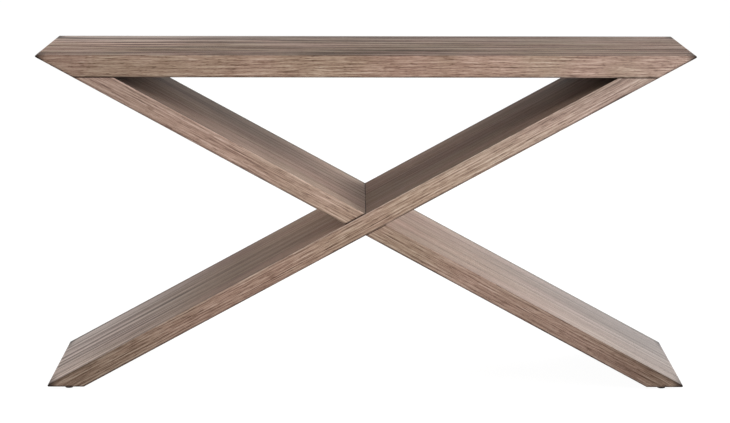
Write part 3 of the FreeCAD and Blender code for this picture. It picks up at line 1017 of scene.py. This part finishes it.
# %% Brass and beech
BRASS = [(0.3, light(158, 122, 66)), (0.7, light(206, 172, 104))]
BRASS_CLOUDS, BRASS_MATTE, TURNING = ((420, 420, 420), 3, 0.5), (0.45, 0.3), ((60, 60, 9000), 1)
BEECH = [(0.3, light(196, 156, 116)), (0.7, light(222, 188, 148))]
BANDS, FLECKS, FLECK_RANGE = ((160, 60, 6), 3), ((1500, 700, 90), 1), (0.6, 0.72)
FLECK, FLECK_SHARE, FLECK_DEEP = light(150, 104, 70), 0.6, 0.0001
BEECH_MATTE, BAND_MATTE = 0.5, 0.15

brass, _ = metal("insert_brass", BRASS_CLOUDS, BRASS, BRASS_MATTE)
brass.relief(brass.noise(place_of(brass), *TURNING), METAL_DEEP)
dress([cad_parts["leveler_inserts"]], brass)

beech = Finish("beech")
flecks = beech.spread(beech.noise(place_of(beech), *FLECKS), *FLECK_RANGE)
bands = beech.noise(place_of(beech), *BANDS)
beech.coat({"Base Color": beech.blend(beech.times(flecks, FLECK_SHARE), beech.ramp(bands, BEECH), FLECK),
            "Roughness": beech.times(bands, BAND_MATTE, BEECH_MATTE)})
beech.relief(flecks, FLECK_DEEP)
dress([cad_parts[f"{leg}_leg_tenons"] for leg in ("right", "left")], beech)
print("finishes:", [m.name for m in bpy.data.materials])

# %% [markdown]
# ## Light
# The table stands in a white studio. Soft panels light it: strong ones on the right and at the back right,
# which give the bright right foot, a weaker one on the left, and three faint ones that fill in from the
# left and the front.

# %% Lamps
LAMPS = [("right_panel", (3.6, -1.0, 1.3), 1.6, 97.0), ("back_panel", (2.6, 2.8, 1.1), 1.4, 84.0),
         ("left_panel", (-3.8, 0.8, 1.3), 1.6, 28.0), ("left_high_panel", (-2.6, -1.0, 3.0), 1.6, 12.0),
         ("front_panel", (0.0, -4.4, 0.9), 1.6, 12.0), ("front_high_panel", (0.6, -1.9, 2.4), 1.0, 11.0)]
AIM = Vector((0, 0, 0.4))

for name, place, size, watts in LAMPS:
    lamp = bpy.data.lights.new(name, "AREA")
    lamp.size, lamp.energy = size, watts
    holder = placed(name, lamp)
    holder.location = place
    holder.rotation_euler = (AIM - Vector(place)).to_track_quat("-Z", "Y").to_euler()
    holder.visible_camera = False
print("lamps:", [lamp[0] for lamp in LAMPS])

# %% [markdown]
# ## White all round
# The world looks white to the camera and in reflections. To the table it gives less light than it shows, so
# that the panels decide where it is light and dark.

# %% World
AMBIENT = 0.39
WHITE = (1, 1, 1, 1)

def seen_directly(chain):
    """1 for rays from the camera, by a reflection or through glass too, and 0 for all others."""
    rays = chain.node("LightPath").outputs
    seen = chain.sum("MAXIMUM", rays["Is Camera Ray"], rays["Is Glossy Ray"])
    return chain.sum("MAXIMUM", seen, rays["Is Transmission Ray"])

world = bpy.data.worlds.new("studio")
bpy.context.scene.world = world
world.use_nodes = True
sky = Chain(world.node_tree)
strength = sky.node("MapRange", {"Value": seen_directly(sky), "To Min": AMBIENT}).outputs[0]
sky.feed(sky.tree.nodes["Background"], {"Color": WHITE, "Strength": strength})
print("share of the white that lights the table:", AMBIENT)

# %% [markdown]
# ## Floor
# The floor is a sheet of white paper that glows for the camera. A small share of its real shading is let
# through, which is the faint shadow under the feet.

# %% Floor
FLOOR = 30.0
FLOOR_WHITE = 1.10
FLOOR_PAINT = (0.9, 0.9, 0.9, 1)
SHADOW_SHARE = 0.12

floor_mesh = bpy.data.meshes.new("floor")
sheet = [(-FLOOR, -FLOOR, 0), (FLOOR, -FLOOR, 0), (FLOOR, FLOOR, 0), (-FLOOR, FLOOR, 0)]
floor_mesh.from_pydata(sheet, [], [(0, 1, 2, 3)])
floor = placed("floor", floor_mesh)
paper = Finish("white_floor")
paper.coat({"Base Color": FLOOR_PAINT, "Roughness": 1.0})
glow = paper.node("Emission", {"Color": WHITE, "Strength": FLOOR_WHITE})
share = paper.times(seen_directly(paper), 1 - SHADOW_SHARE)
mixed = paper.node("MixShader", {0: share, 1: paper.surface.outputs["BSDF"], 2: glow.outputs[0]})
paper.feed(paper.end, {"Surface": mixed.outputs[0]})
dress([floor], paper)
print("floor of", 2 * FLOOR, "m each way")

# %% [markdown]
# ## Camera
# A long lens stands in front of the table and a little above its top, so the top shows as a thin band and
# the lines hardly run together. It is turned and tipped by a fraction of a degree.

# %% Camera
LENS, SENSOR = 119.66, 36.0
EYE = (-0.0238, -5.7674, 1.3718)
TILT, YAW, ROLL = (math.radians(d) for d in (9.705, 0.228, 0.103))

lens = bpy.data.cameras.new("camera")
lens.lens, lens.sensor_width = LENS, SENSOR
camera = placed("camera", lens)
turn = Matrix.Rotation(-YAW, 4, "Z") @ Matrix.Rotation(math.pi / 2 - TILT, 4, "X")
turn = turn @ Matrix.Rotation(ROLL, 4, "Z")
camera.matrix_world = Matrix.Translation(EYE) @ turn
bpy.context.scene.camera = camera
bpy.context.scene.view_settings.view_transform = "Standard"
print("camera at", np.round(camera.matrix_world.translation, 3))

# %% [markdown]
# ## Scene brought up to date
# The last cell brings the scene up to date.

# %% Update
bpy.context.view_layer.update()
